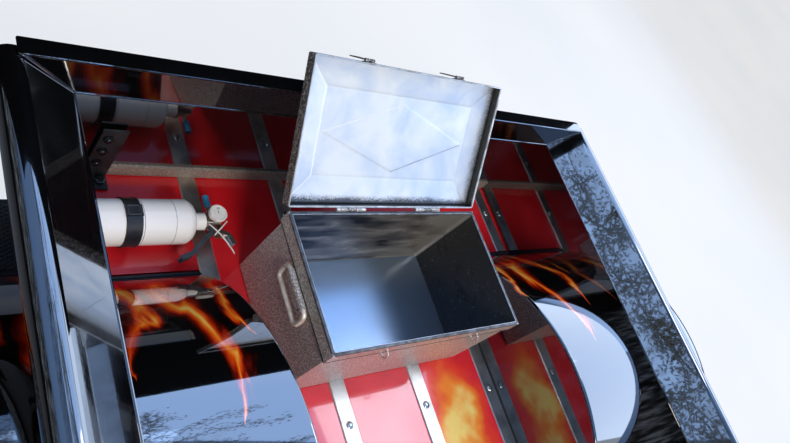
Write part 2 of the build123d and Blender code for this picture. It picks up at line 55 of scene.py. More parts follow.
# Load bed of a pickup truck. Its drawing starts at the foot of the front panel, on the planks,
# with x to the right, y to the front and z up, in millimetres.
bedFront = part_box("front_panel")[0].y
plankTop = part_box("plank_3")[1].z


def place(points):  # drawing millimetres to the frame's metres
    return np.asarray(points, float) / 1000 + (0, bedFront, plankTop)


def paint(code):  # an sRGB hex colour as linear light: ((c + 0.055) / 1.055) ^ 2.4
    c = np.array([int(code[i:i + 2], 16) for i in (1, 3, 5)]) / 255
    return (*np.where(c <= 0.04045, c / 12.92, ((c + 0.055) / 1.055) ** 2.4).tolist(), 1.0)


# Adds one node. The dictionary feeds its sockets, by name or number, with a value, a socket or a node;
# stops are a colour ramp's (position, colour) pairs; the other names are the node's own settings.
def add(tree, kind, sockets=None, stops=(), **settings):
    made = tree.nodes.new("ShaderNode" + kind)
    for key, value in settings.items():
        setattr(made, key, value)
    for key, value in (sockets or {}).items():
        if isinstance(key, str):
            key = next(i for i, s in enumerate(made.inputs) if s.enabled and s.name == key)
        if isinstance(value, bpy.types.Node):
            value = next(s for s in value.outputs if s.enabled)
        if isinstance(value, bpy.types.NodeSocket):
            tree.links.new(value, made.inputs[key])
        else:
            made.inputs[key].default_value = value
    for i, (position, code) in enumerate(stops):
        stop = made.color_ramp.elements[i] if i < 2 else made.color_ramp.elements.new(position)
        stop.position, stop.color = position, paint(code)
    return made


print("frame loaded")

# Camera, as the photograph was taken: from above the left side, turned far over
camera = dict(
    lens=30.765,
    sensor=36,
    place=(-0.9228, 0.0992, 1.1914),
    heading=62.477,  # from the bed's front towards its right
    dip=41.229,
    roll=50.924,
)


def aimCamera(heading, dip, roll):  # right = level cos(roll) + (level x ahead) sin(roll), up = right x ahead
    heading, dip, roll = (math.radians(a) for a in (heading, dip, roll))
    ahead = Vector((math.sin(heading) * math.cos(dip), math.cos(heading) * math.cos(dip), -math.sin(dip)))
    level = ahead.cross(Vector((0, 0, 1))).normalized()
    right = math.cos(roll) * level + math.sin(roll) * level.cross(ahead)
    return Matrix((right, right.cross(ahead), -ahead)).transposed().to_4x4()


lens = bpy.data.cameras.new("camera")
lens.lens, lens.sensor_width, lens.sensor_fit = camera["lens"], camera["sensor"], "HORIZONTAL"
cameraObject = bpy.data.objects.new("camera", lens)
cameraObject.matrix_world = Matrix.Translation(camera["place"]) @ aimCamera(
    camera["heading"], camera["dip"], camera["roll"])
bpy.context.scene.collection.objects.link(cameraObject)
bpy.context.scene.camera = cameraObject
bpy.context.scene.view_settings.view_transform = "Standard"

# Light: brightness is what a lamp adds to white paper that faces it, at the middle of the bed
lamps = dict(
    key=dict(towards=(-0.22, -0.70, 0.68), distance=4.2, size=(1.3, 1.3), brightness=0.62, colour="#FFF6EA"),
    sky=dict(towards=(0.470, 0.394, 0.791), distance=3.4, size=(3.6, 1.7), brightness=0.34, colour="#AACBFF"),
    right=dict(towards=(0.93, 0.10, 0.34), distance=3.6, size=(4.2, 1.9), brightness=0.44, colour="#C6DCFF"),
    glint=dict(towards=(0.62, 0.08, 0.78), distance=3.2, size=(0.9, 0.7), brightness=0.10, colour="#FFFFFF"),
    overhead=dict(towards=(0.05, 0.174, 0.984), distance=3.75, size=(1.04, 2.48), brightness=0.12,
                  colour="#A6CAFF"),
)
studio = dict(
    fill=0.32,
    fillColour="#F2F5FF",
    zenith="#98BEFA",   # what gloss paint mirrors from straight above
    sky="#86B2F6",
    horizon="#D6E5FA",
    treeline="#1C2122",  # dark low band all round, up to 10 degrees
    leaves="#0C100E",   # dappled shade above, seen in the mirror coats alone
    leafSize=1.3,       # degrees
    flag="#0B0C0E",     # dark board in front of the bed, which shows only in what mirrors it
    branch="#5A5438",   # leafy branches under two lamps, which show only in what mirrors them
    flagSize=(1000, 100, 880, 160),   # half width, foot, top and place along the bed, in mm
    paper="#FCFDFE",
    shade="#F6F9FC",
    mottle=900,         # the floor's clouds, in mm
    lift=0.78,          # share of the floor's colour that glows for the camera
    glow=0.93,
    mirroredFloor="#6E7176",   # the floor as paint and metal mirror it
    floorSize=30000,
)
bedMiddle = Vector(place((0, -560, 60)))

for name, lamp in lamps.items():
    light = bpy.data.lights.new(name, "AREA")
    light.shape, light.size, light.size_y = "RECTANGLE", *lamp["size"]
    light.energy = math.pi ** 2 * lamp["distance"] ** 2 * lamp["brightness"]
    light.color = paint(lamp["colour"])[:3]
    holder = bpy.data.objects.new(name, light)
    towards = Vector(lamp["towards"]).normalized()
    level = Vector((0, 0, 1)).cross(towards).normalized()
    holder.matrix_world = Matrix.Translation(bedMiddle + towards * lamp["distance"]) @ (
        Matrix((level, towards.cross(level), towards)).transposed().to_4x4())
    bpy.context.scene.collection.objects.link(holder)

world = bpy.data.worlds.new("studio")
bpy.context.scene.world = world
world.use_nodes = True
tree = world.node_tree
tree.nodes.clear()
direction = add(tree, "TexCoord").outputs["Generated"]
x, y, z = add(tree, "SeparateXYZ", {0: direction}).outputs
height = add(tree, "MapRange", {"Value": z, "From Min": -0.1, "From Max": 1.0})
perRadian = 57.3 / studio["leafSize"]
drift = add(tree, "TexNoise", {"Vector": direction, "Scale": perRadian, "Detail": 9, "Roughness": 0.66})
ragged = add(tree, "Math", {0: drift, 1: 0.5}, operation="SUBTRACT")
ragged = add(tree, "Math", {0: ragged, 1: 0.12, 2: height}, operation="MULTIPLY_ADD")
sky = add(tree, "ValToRGB", {"Fac": ragged}, stops=(
    (0.23, studio["treeline"]), (1.0, studio["zenith"]), (0.27, studio["horizon"]), (0.45, studio["horizon"]),
    (0.72, studio["sky"])))
leaves = 0.0   # where the drift passes a level, overhead and low on the left; limits are (axis, none, full)
for thin, dense, limits in (
        (0.51, 0.53, ((z, 0.90, 0.93),)), (0.40, 0.50, ((x, -0.06, -0.16), (z, 0.70, 0.58)))):
    patch = add(tree, "MapRange", {"Value": drift, "From Min": thin, "From Max": dense})
    for axis, none, full in limits:
        within = add(tree, "MapRange", {"Value": axis, "From Min": none, "From Max": full})
        patch = add(tree, "Math", {0: patch, 1: within}, operation="MULTIPLY")
    leaves = add(tree, "Math", {0: patch, 1: leaves}, operation="MAXIMUM")
dappled = add(tree, "Mix", {"Factor": leaves, 6: sky, 7: paint(studio["leaves"])}, data_type="RGBA")
seen = add(tree, "LightPath")
glossy = add(tree, "Math", {0: seen.outputs["Is Glossy Ray"], 1: seen.outputs["Is Transmission Ray"]},
             operation="MAXIMUM")
fill = add(tree, "Background", {"Color": paint(studio["fillColour"]), "Strength": studio["fill"]})
mirror = add(tree, "Background", {"Color": dappled, "Strength": 1.0})
wall = add(tree, "Background", {"Color": paint(studio["paper"]), "Strength": 1.0})
shown = add(tree, "MixShader", {0: glossy, 1: fill, 2: mirror})
shown = add(tree, "MixShader", {0: seen.outputs["Is Camera Ray"], 1: shown, 2: wall})
add(tree, "OutputWorld", {"Surface": shown})
print("camera and light set")

# Materials. Each works in millimetres from a place in the drawing, on the object's own coordinates.
finishes = {}


def newFinish(name, centre=(0, 0, 0), turn=0.0):
    material = bpy.data.materials.new(name)
    material.use_nodes = True
    tree = material.node_tree
    tree.nodes.clear()
    where = add(tree, "Mapping", {
        "Vector": add(tree, "TexCoord").outputs["Object"], "Location": place(centre).tolist(),
        "Rotation": (math.radians(turn), 0, 0), "Scale": (0.001, 0.001, 0.001)}, vector_type="TEXTURE")
    finishes[name] = material
    return tree, where


# Clearcoated urethane enamel: deep black under a mirror coat, a faint orange peel and thin haze
enamel = dict(colour="#060607", dust="#26272A", peel=5, haze=90, speck=3)
mirrorCoat = {"IOR": 1.75, "Specular IOR Level": 0.8, "Coat Weight": 1.0, "Coat IOR": 1.95,
              "Coat Roughness": 0.015}
tree, where = newFinish("blackEnamel")
peel = add(tree, "TexNoise", {"Vector": where, "Scale": 1 / enamel["peel"], "Detail": 1})
haze = add(tree, "TexNoise", {"Vector": where, "Scale": 1 / enamel["haze"], "Detail": 5})
specks = add(tree, "TexNoise", {"Vector": where, "Scale": 1 / enamel["speck"], "Detail": 2})
dusty = add(tree, "MapRange", {"Value": specks, "From Min": 0.68, "From Max": 0.78, "To Max": 0.7})
colour = add(tree, "Mix", {"Factor": dusty, 6: paint(enamel["colour"]), 7: paint(enamel["dust"])},
             data_type="RGBA")
rough = add(tree, "MapRange", {
    "Value": haze, "From Min": 0.35, "From Max": 0.7, "To Min": 0.03, "To Max": 0.12})
add(tree, "OutputMaterial", {"Surface": add(tree, "BsdfPrincipled", {
    "Base Color": colour, "Roughness": rough,
    "Normal": add(tree, "Bump", {"Height": peel, "Strength": 0.05, "Distance": 0.0002}), **mirrorCoat})})

# The same enamel with flames sprayed under the coat, licking back from the front of each tub and fender.
# Along = angle round the axle times the radius, across = distance from the bed's middle. A tongue's centre
# sways as a sine along it, and its heat falls off sideways: 1 - |across - centre| / half width, where the
# half width = width (1 - share run)^0.7. The heats' maximum is coloured, and a noise frays it.
flames = dict(
    axle=(0, -605.02, -190), radius=428, inner=420,   # nothing on the flat sides, inside this radius
    fray=54, fraySize=76, frayAlong=0.45,   # drawn out along the arc
    taper=0.7, root=0.22,   # root = share of a tongue's run in which it lights up
)
tongues = (  # (start, length, across, sway, wave, phase, width), in mm along the arc and across it
    (178, 300, 366, 16, 300, 0.4, 46), (196, 430, 446, 26, 340, 2.4, 64), (180, 350, 540, 22, 300, 4.2, 54),
    (190, 220, 590, 12, 240, 3.0, 30), (176, 420, 664, 24, 340, 0.0, 60), (200, 300, 752, 20, 280, 2.6, 50),
    (184, 400, 838, 22, 330, 5.0, 58))
tree, where = newFinish("flamedEnamel", flames["axle"])
x, y, z = add(tree, "SeparateXYZ", {0: where}).outputs
angle = add(tree, "Math", {0: z, 1: y}, operation="ARCTAN2")
along = add(tree, "Math", {0: angle, 1: flames["radius"]}, operation="MULTIPLY")
out = add(tree, "VectorMath", {0: add(tree, "CombineXYZ", {1: y, 2: z})}, operation="LENGTH").outputs["Value"]
side = add(tree, "Math", {0: x}, operation="SIGN")
fray = add(tree, "Math", {0: along, 1: flames["frayAlong"]}, operation="MULTIPLY")
fray = add(tree, "CombineXYZ", {0: fray, 1: x})
fray = add(tree, "TexNoise", {"Vector": fray, "Scale": 1 / flames["fraySize"], "Detail": 3.5,
                              "Roughness": 0.55, "Distortion": 0.4})
aside = add(tree, "Math", {0: fray, 1: 0.5}, operation="SUBTRACT")
across = add(tree, "Math", {0: x}, operation="ABSOLUTE")
across = add(tree, "Math", {0: aside, 1: 2 * flames["fray"], 2: across}, operation="MULTIPLY_ADD")
heat = 0.0
for start, length, middle, sway, wave, phase, width in tongues:
    run = add(tree, "MapRange", {"Value": along, "From Min": start, "From Max": start + length})
    turn = add(tree, "Math", {0: along, 1: 2 * math.pi / wave, 2: phase}, operation="MULTIPLY_ADD")
    turn = add(tree, "Math", {0: turn, 1: side}, operation="ADD")
    centre = add(tree, "Math", {0: turn}, operation="SINE")
    centre = add(tree, "Math", {0: centre, 1: sway, 2: middle}, operation="MULTIPLY_ADD")
    taper = add(tree, "Math", {0: 1.0, 1: run}, operation="SUBTRACT")
    taper = add(tree, "Math", {0: taper, 1: flames["taper"]}, operation="POWER")
    halfWidth = add(tree, "Math", {0: taper, 1: width, 2: 0.01}, operation="MULTIPLY_ADD")
    aside = add(tree, "Math", {0: across, 1: centre}, operation="SUBTRACT")
    aside = add(tree, "Math", {0: aside}, operation="ABSOLUTE")
    aside = add(tree, "Math", {0: aside, 1: halfWidth}, operation="DIVIDE")
    near = add(tree, "Math", {0: 1.0, 1: aside}, operation="SUBTRACT")
    lighting = add(tree, "MapRange", {"Value": run, "From Max": flames["root"]})
    lit = add(tree, "Math", {0: near, 1: lighting}, operation="MULTIPLY")
    heat = add(tree, "Math", {0: lit, 1: heat}, operation="MAXIMUM")
flicker = add(tree, "MapRange", {"Value": fray, "From Min": 0.35, "From Max": 0.58, "To Min": 0.62})
outside = add(tree, "Math", {0: out, 1: flames["inner"]}, operation="GREATER_THAN")
flicker = add(tree, "Math", {0: flicker, 1: outside}, operation="MULTIPLY")
heat = add(tree, "Math", {0: heat, 1: flicker}, operation="MULTIPLY")
fire = add(tree, "ValToRGB", {"Fac": heat}, stops=(
    (0.0, enamel["colour"]), (0.94, "#FFC65C"), (0.12, "#1A0200"), (0.32, "#5A0A02"), (0.48, "#AE2205"),
    (0.64, "#EC500B"), (0.79, "#FF8C22")))
peel = add(tree, "TexNoise", {"Vector": where, "Scale": 1 / enamel["peel"], "Detail": 1})
add(tree, "OutputMaterial", {"Surface": add(tree, "BsdfPrincipled", {
    "Base Color": fire, "Roughness": 0.05,
    "Normal": add(tree, "Bump", {"Height": peel, "Strength": 0.05, "Distance": 0.0002}), **mirrorCoat})})

# Candy red lacquer on the planks: deep red, wet-looking, with a few soft orange-yellow patches on it
candy = dict(colour="#E9262F", deep="#CE1A24", depth=160, cloud=90, peel=6, warp=75, drift=84)
glows = ((196, -640, 80, 150), (396, -705, 42, 110), (206, -1090, 56, 170), (-206, -1240, 56, 170),
         (434, -1380, 56, 140))   # (x, y, half width, half length)
tree, where = newFinish("candyRedLacquer")
depth = add(tree, "TexNoise", {"Vector": where, "Scale": 1 / candy["depth"], "Detail": 3})
deepening = add(tree, "MapRange", {"Value": depth, "From Min": 0.35, "From Max": 0.65})
red = add(tree, "Mix", {"Factor": deepening, 6: paint(candy["deep"]), 7: paint(candy["colour"])},
          data_type="RGBA")
cloudy = add(tree, "TexNoise", {"Vector": where, "Scale": 1 / candy["cloud"], "Detail": 3})
warp = add(tree, "TexNoise", {"Vector": where, "Scale": 1 / candy["warp"], "Detail": 2})
swayed = add(tree, "VectorMath", {0: warp.outputs["Color"], 1: (candy["drift"], candy["drift"], 0), 2: where},
             operation="MULTIPLY_ADD")
glow = 0.0
for x, y, halfWidth, halfLength in glows:
    spot = add(tree, "Mapping", {"Vector": swayed, "Scale": (halfWidth, halfLength, 1000), "Location": (
        x + candy["drift"] / 2, y + candy["drift"] / 2, 0)}, vector_type="TEXTURE")
    spot = add(tree, "VectorMath", {0: spot}, operation="LENGTH").outputs["Value"]
    near = add(tree, "MapRange", {"Value": spot, "From Max": 1.9, "To Min": 1.0, "To Max": 0.0},
               interpolation_type="SMOOTHERSTEP")
    glow = add(tree, "Math", {0: near, 1: glow}, operation="MAXIMUM")
uneven = add(tree, "MapRange", {
    "Value": cloudy, "From Min": 0.3, "From Max": 0.65, "To Min": 0.75, "To Max": 1.2})
glow = add(tree, "Math", {0: glow, 1: uneven}, operation="MULTIPLY")
glowColour = add(tree, "ValToRGB", {"Fac": glow}, stops=(
    (0.10, candy["colour"]), (1.0, "#FFDE7A"), (0.42, "#F0401C"), (0.74, "#FF9228")))
glowing = add(tree, "MapRange", {"Value": glow, "From Max": 0.3})
colour = add(tree, "Mix", {"Factor": glowing, 6: red, 7: glowColour}, data_type="RGBA")
rough = add(tree, "MapRange", {
    "Value": depth, "From Min": 0.3, "From Max": 0.7, "To Min": 0.12, "To Max": 0.25})
peel = add(tree, "TexNoise", {"Vector": where, "Scale": 1 / candy["peel"], "Detail": 2})
add(tree, "OutputMaterial", {"Surface": add(tree, "BsdfPrincipled", {
    "Base Color": colour, "Roughness": rough, "Coat Weight": 1.0, "Coat Roughness": 0.03,
    "Normal": add(tree, "Bump", {"Height": peel, "Strength": 0.06, "Distance": 0.0003})})})

# Polished stainless strip: bright, drawn lengthwise, so its shine smears along the bed
strip = dict(colour="#DAD2C4", dull="#A8A092", line=1.6, stain=45)
tree, where = newFinish("polishedStainless")
drawn = add(tree, "Mapping", {"Vector": where, "Scale": (1, 0.01, 1)})
drawn = add(tree, "TexNoise", {"Vector": drawn, "Scale": 1 / strip["line"], "Detail": 2})
stain = add(tree, "TexNoise", {"Vector": where, "Scale": 1 / strip["stain"], "Detail": 5})
stain = add(tree, "MapRange", {"Value": stain, "From Min": 0.42, "From Max": 0.72})
colour = add(tree, "Mix", {"Factor": stain, 6: paint(strip["colour"]), 7: paint(strip["dull"])},
             data_type="RGBA")
rough = add(tree, "MapRange", {
    "Value": drawn, "From Min": 0.3, "From Max": 0.7, "To Min": 0.29, "To Max": 0.40})
add(tree, "OutputMaterial", {"Surface": add(tree, "BsdfPrincipled", {
    "Base Color": colour, "Metallic": 1.0, "Roughness": rough,
    "Normal": add(tree, "Bump", {"Height": drawn, "Strength": 0.03, "Distance": 0.0002})})})

# Wrinkle powder coat: brown-grey, dull, pebbled at about 2.6 mm; its raised pebbles are paler in patches,
# part pale dust and part painted highlight
wrinkle = dict(colour="#8A7F77", high="#E2D8CC", grain=2.6, dust=110)
tree, where = newFinish("wrinkleCoat")
grain = add(tree, "TexNoise", {"Vector": where, "Scale": 1 / wrinkle["grain"], "Detail": 3, "Roughness": 0.6})
dust = add(tree, "TexNoise", {"Vector": where, "Scale": 1 / wrinkle["dust"], "Detail": 3})
peaks = add(tree, "MapRange", {"Value": grain, "From Min": 0.45, "From Max": 0.75})
dust = add(tree, "MapRange", {"Value": dust, "From Min": 0.3, "From Max": 0.7, "To Min": 0.25})
dustAndHighlight = add(tree, "Math", {0: peaks, 1: dust}, operation="MULTIPLY")
colour = add(tree, "Mix", {"Factor": dustAndHighlight, 6: paint(wrinkle["colour"]), 7: paint(wrinkle["high"])},
             data_type="RGBA")
add(tree, "OutputMaterial", {"Surface": add(tree, "BsdfPrincipled", {
    "Base Color": colour, "Roughness": 0.55, "Metallic": 0.25,
    "Normal": add(tree, "Bump", {"Height": grain, "Strength": 0.6, "Distance": 0.0008})})})

# Hammertone enamel on the toolbox: brown-grey metallic skin in small dimples, drawn at 3.3 mm so that it
# shows. Inside, its walls are thin dark enamel with bare specks, and its bottom is painted blue-grey as a
# painted reflection of the sky. Inside = half width, middle and half depth, lowest and highest place, on the
# finish's own axes.
hammered = dict(light="#FFFDFA", wall="#C4BDB2", wallDark="#242527", bottomReflection="#8D9FB2", speck="#F2EFE6",
                dimple=3.3, broad=55, fleck=4, smear=70, lean=0.0007, frontWall=(126, 129))
lidHinge, lidAngle = (-6.5, -200, 217.5), 132.6
# The box and the lid get lit and shaded copies of one enamel: the box's paler, as painted light, the lid's
# darker, as painted shade
for name, centre, turn, inside, footTop, crest, dark in (
        ("hammertoneBox", (-6.5, -342, 0), 0, (242.6, 0, 133.1, 4, 300), 5.6, 0.22, "#B2ACA6"),
        ("hammertoneLid", lidHinge, -lidAngle, (245.7, -142, 136.2, -3, 24), -9, 0.10, "#6A6560")):
    tree, where = newFinish(name, centre, turn)
    cells = add(tree, "TexVoronoi", {"Vector": where, "Scale": 1 / hammered["dimple"], "Smoothness": 0.6},
                feature="SMOOTH_F1")
    broad = add(tree, "TexNoise", {"Vector": where, "Scale": 1 / hammered["broad"], "Detail": 4})
    broad = add(tree, "Math", {0: broad, 1: 0.2}, operation="MULTIPLY")
    crown = add(tree, "Math", {0: cells.outputs["Distance"], 1: 0.85, 2: broad}, operation="MULTIPLY_ADD")
    outerColour = add(tree, "ValToRGB", {"Fac": crown}, stops=((crest, hammered["light"]), (0.56, dark)))
    x, y, z = add(tree, "SeparateXYZ", {0: where}).outputs
    halfX, middleY, halfY, low, high = inside
    deep = 1.0
    for axis, middle, half in ((x, 0, halfX), (y, middleY, halfY), (z, (low + high) / 2, (high - low) / 2)):
        near = add(tree, "Math", {0: axis, 1: middle, 2: half}, operation="COMPARE")
        deep = add(tree, "Math", {0: near, 1: deep}, operation="MULTIPLY")
    flecks = add(tree, "TexNoise", {
        "Vector": where, "Scale": 1 / hammered["fleck"], "Detail": 4, "Roughness": 0.7})
    smear = add(tree, "Mapping", {"Vector": where, "Rotation": (0, 0.5, 0), "Scale": (0.5, 1, 1.6)})
    smear = add(tree, "TexNoise", {
        "Vector": smear, "Scale": 1 / hammered["smear"], "Detail": 3, "Distortion": 0.3})
    smear = add(tree, "Math", {0: x, 1: hammered["lean"], 2: smear}, operation="MULTIPLY_ADD")
    smear = add(tree, "MapRange", {"Value": smear, "From Min": 0.34, "From Max": 0.62})
    near, far = hammered["frontWall"]   # smears, paler to the right: strong on it as painted sunlight, faint elsewhere
    onFront = add(tree, "MapRange", {"Value": y, "From Min": near, "From Max": far, "To Min": 0.12})
    paintedSunSmears = add(tree, "Math", {0: smear, 1: onFront}, operation="MULTIPLY")
    bare = add(tree, "MapRange", {"Value": flecks, "From Min": 0.65, "From Max": 0.70, "To Max": 0.9})
    foot = add(tree, "Math", {0: z, 1: footTop}, operation="LESS_THAN")
    colour = paint(hammered["wallDark"])
    for share, over in ((paintedSunSmears, "wall"), (bare, "speck"), (foot, "bottomReflection")):
        colour = add(tree, "Mix", {"Factor": share, 6: colour, 7: paint(hammered[over])}, data_type="RGBA")
    colour = add(tree, "Mix", {"Factor": deep, 6: outerColour, 7: colour}, data_type="RGBA")
    metallic = add(tree, "MapRange", {"Value": deep, "To Min": 0.4, "To Max": 0.65})
    rough = add(tree, "MapRange", {"Value": deep, "To Min": 0.31, "To Max": 0.22})
    relief = add(tree, "Mix", {"Factor": deep, 2: cells.outputs["Distance"], 3: flecks})
    strength = add(tree, "MapRange", {"Value": deep, "To Min": 0.9, "To Max": 0.12})
    add(tree, "OutputMaterial", {"Surface": add(tree, "BsdfPrincipled", {
        "Base Color": colour, "Metallic": metallic, "Roughness": rough,
        "Normal": add(tree, "Bump", {"Height": relief, "Strength": strength, "Distance": 0.0018})})})

# Galvanised sheet inside the lid: pale silver, cloudy, a little wavy, with thin scratches; its blue cast is
# painted reflection of the sky, and a ragged band of painted shade runs along its hinge side and its right
# side
sheet = dict(colour="#F8FCFE", cloud="#CFE0F6", cornerShade="#2E3642", roughness=(0.30, 0.44),
             hinge=-6, right=247.5, cloudSize=95, scratch=3, speckle=2.5, blot=40,
             stray=(22, 16))   # how far the painted shade's edge wanders, in speckles and in blots
tree, where = newFinish("galvanisedSheet", lidHinge, -lidAngle)
cloud = add(tree, "TexNoise", {
    "Vector": where, "Scale": 1 / sheet["cloudSize"], "Detail": 5, "Distortion": 0.4})
scratch = add(tree, "Mapping", {"Vector": where, "Rotation": (0, 0, 0.5), "Scale": (1, 0.02, 1)})
scratch = add(tree, "TexNoise", {"Vector": scratch, "Scale": 1 / sheet["scratch"], "Detail": 2})
x, y, z = add(tree, "SeparateXYZ", {0: where}).outputs
fine = add(tree, "TexNoise", {"Vector": where, "Scale": 1 / sheet["speckle"], "Detail": 2})
wide = add(tree, "TexNoise", {"Vector": where, "Scale": 1 / sheet["blot"], "Detail": 3})
wide = add(tree, "Math", {0: wide, 1: -sheet["stray"][1]}, operation="MULTIPLY")
ragged = add(tree, "Math", {0: fine, 1: -sheet["stray"][0], 2: wide}, operation="MULTIPLY_ADD")
shadedEdges = 0.0
for axis, edge, nearest, farthest, cover in ((y, sheet["hinge"], -13, -3, 0.92),
                                             (x, sheet["right"], -16, 3, 0.9)):
    inward = add(tree, "Math", {0: axis, 1: edge}, operation="SUBTRACT")
    inward = add(tree, "Math", {0: inward, 1: -1, 2: ragged}, operation="MULTIPLY_ADD")
    over = add(tree, "MapRange", {
        "Value": inward, "From Min": nearest, "From Max": farthest, "To Min": cover, "To Max": 0})
    shadedEdges = add(tree, "Math", {0: over, 1: shadedEdges}, operation="MAXIMUM")
clouding = add(tree, "MapRange", {"Value": cloud, "From Min": 0.38, "From Max": 0.68})
# the sheet's blue-white colour and its bluer clouds are painted reflection of the sky
colour = add(tree, "Mix", {"Factor": clouding, 6: paint(sheet["colour"]), 7: paint(sheet["cloud"])},
             data_type="RGBA")
colour = add(tree, "Mix", {"Factor": shadedEdges, 6: colour, 7: paint(sheet["cornerShade"])}, data_type="RGBA")
smooth, dull = sheet["roughness"]
rough = add(tree, "MapRange", {
    "Value": cloud, "From Min": 0.3, "From Max": 0.7, "To Min": smooth, "To Max": dull})
add(tree, "OutputMaterial", {"Surface": add(tree, "BsdfPrincipled", {
    "Base Color": colour, "Metallic": 0.4, "Roughness": rough,
    "Normal": add(tree, "Bump", {"Height": scratch, "Strength": 0.08, "Distance": 0.0003})})})

# The plainer metals, paints and rubbers: (name, colour, second colour, metallic, roughness, patch in mm)
fineGrain = 1.5   # mm
plain = (
    ("bareSteelEdge", "#E4E6E6", "#A9A39B", 0.9, 0.36, 22),      # edges rubbed bright, thin dull film
    ("zincPlatedRod", "#F6EFE4", "#D6CBBB", 0.35, 0.36, 18),      # warm white zinc
    ("zincPlatedBolt", "#D6D5D0", "#9A9790", 0.95, 0.20, 9),     # round heads, slightly tarnished
    ("nickelPlatedBrass", "#D8D4CB", "#9A9388", 0.95, 0.19, 14),
    ("greyPaintedSteel", "#4A4F55", "#33373C", 0.30, 0.38, 25),  # pressed lever, satin
    ("blackRubber", "#141416", "#232326", 0.0, 0.55, 30),
    ("blackStrapPlastic", "#191A1D", "#2B2D32", 0.0, 0.36, 30),
    ("blueNozzlePlastic", "#2F93BC", "#2480A6", 0.0, 0.36, 12),
    ("whiteNylon", "#F0EDE8", "#DAD6CE", 0.0, 0.40, 8),
    ("dialWhite", "#F2F2EE", "#E2E2DC", 0.0, 0.36, 12),
    ("dialGreen", "#2E8B4A", "#257A3F", 0.0, 0.36, 6),
    ("dialBlack", "#1A1A1A", "#262626", 0.0, 0.36, 6),
    ("satinBlackCoat", "#1C1C1E", "#2C2C2E", 0.0, 0.36, 40),
    ("hemEnamel", "#5D5C5B", "#3B3735", 0.6, 0.40, 16),          # folded rim of the box, paint worn thin
    ("blackenedBolt", "#2C2C2E", "#1A1A1B", 0.6, 0.20, 9),
    ("highlightSheet", "#FDFEFF", "#F4F9FD", 0.1, 0.36, 30),     # painted highlight along a crease
    ("shadeSheet", "#9FB0C4", "#8B9CB1", 0.2, 0.40, 30),        # crease in its own shade
    ("blackTreadCoat", "#121213", "#2C2B2A", 0.15, 0.50, 35),    # step, worn grey in patches
)
for name, colour, second, metallic, roughness, patch in plain:
    tree, where = newFinish(name)
    patches = add(tree, "TexNoise", {"Vector": where, "Scale": 1 / patch, "Detail": 4})
    fine = add(tree, "TexNoise", {"Vector": where, "Scale": 1 / fineGrain, "Detail": 2})
    worn = add(tree, "MapRange", {"Value": patches, "From Min": 0.4, "From Max": 0.7})
    colour = add(tree, "Mix", {"Factor": worn, 6: paint(colour), 7: paint(second)}, data_type="RGBA")
    rough = add(tree, "MapRange", {"Value": patches, "From Min": 0.3, "From Max": 0.7,
                                   "To Min": roughness * 0.8, "To Max": roughness * 1.3})
    add(tree, "OutputMaterial", {"Surface": add(tree, "BsdfPrincipled", {
        "Base Color": colour, "Metallic": metallic, "Roughness": rough,
        "Normal": add(tree, "Bump", {"Height": fine, "Strength": 0.1, "Distance": 0.0002})})})

# White baked enamel on the extinguisher: glossy, a little scuffed, with two thin grey rings
bottle = dict(middle=(0, -132, 46.3), colour="#FAFAF9", scuffed="#C2BEB7", line="#5B5E66",
              rings=(-400, -458), ringWidth=1.4, scuff=12)
tree, where = newFinish("whiteEnamel", bottle["middle"])
x, y, z = add(tree, "SeparateXYZ", {0: where}).outputs
lined = 0.0
for middle in bottle["rings"]:
    ring = add(tree, "Math", {0: x, 1: middle, 2: bottle["ringWidth"] / 2}, operation="COMPARE")
    lined = add(tree, "Math", {0: ring, 1: lined}, operation="MAXIMUM")
scuff = add(tree, "TexNoise", {"Vector": where, "Scale": 1 / bottle["scuff"], "Detail": 6, "Roughness": 0.7})
unworn = add(tree, "MapRange", {
    "Value": scuff, "From Min": 0.35, "From Max": 0.6, "To Min": 1.0, "To Max": 0.4})
lined = add(tree, "Math", {0: lined, 1: unworn}, operation="MULTIPLY")
worn = add(tree, "MapRange", {"Value": scuff, "From Min": 0.62, "From Max": 0.8, "To Max": 0.35})
colour = add(tree, "Mix", {"Factor": worn, 6: paint(bottle["colour"]), 7: paint(bottle["scuffed"])},
             data_type="RGBA")
colour = add(tree, "Mix", {"Factor": lined, 6: colour, 7: paint(bottle["line"])}, data_type="RGBA")
add(tree, "OutputMaterial", {"Surface": add(tree, "BsdfPrincipled", {
    "Base Color": colour, "Roughness": 0.18, "Coat Weight": 0.6, "Coat Roughness": 0.06,
    "Normal": add(tree, "Bump", {"Height": scuff, "Strength": 0.04, "Distance": 0.0003})})})

# Studio floor: pale matt paper, lifted for the camera so that it stays pale far from the lamps
tree, where = newFinish("paperFloor")
mottle = add(tree, "TexNoise", {"Vector": where, "Scale": 1 / studio["mottle"], "Detail": 5})
mottled = add(tree, "MapRange", {"Value": mottle, "From Min": 0.4, "From Max": 0.7})
paper = add(tree, "Mix", {"Factor": mottled, 6: paint(studio["paper"]), 7: paint(studio["shade"])},
            data_type="RGBA")
seen = add(tree, "LightPath")
lift = add(tree, "Math", {0: seen.outputs["Is Camera Ray"], 1: studio["lift"]}, operation="MULTIPLY")
colour = add(tree, "Mix", {
    "Factor": seen.outputs["Is Glossy Ray"], 6: paper, 7: paint(studio["mirroredFloor"])}, data_type="RGBA")
matt = add(tree, "BsdfDiffuse", {"Color": colour})
glowing = add(tree, "Emission", {"Color": paper, "Strength": studio["glow"]})
add(tree, "OutputMaterial", {"Surface": add(tree, "MixShader", {0: lift, 1: matt, 2: glowing})})

# Dull cloth for the dark board and the branches
for name in ("flag", "branch"):
    tree, where = newFinish(name + "Cloth")
    add(tree, "OutputMaterial", {"Surface": add(tree, "BsdfDiffuse", {"Color": paint(studio[name])})})

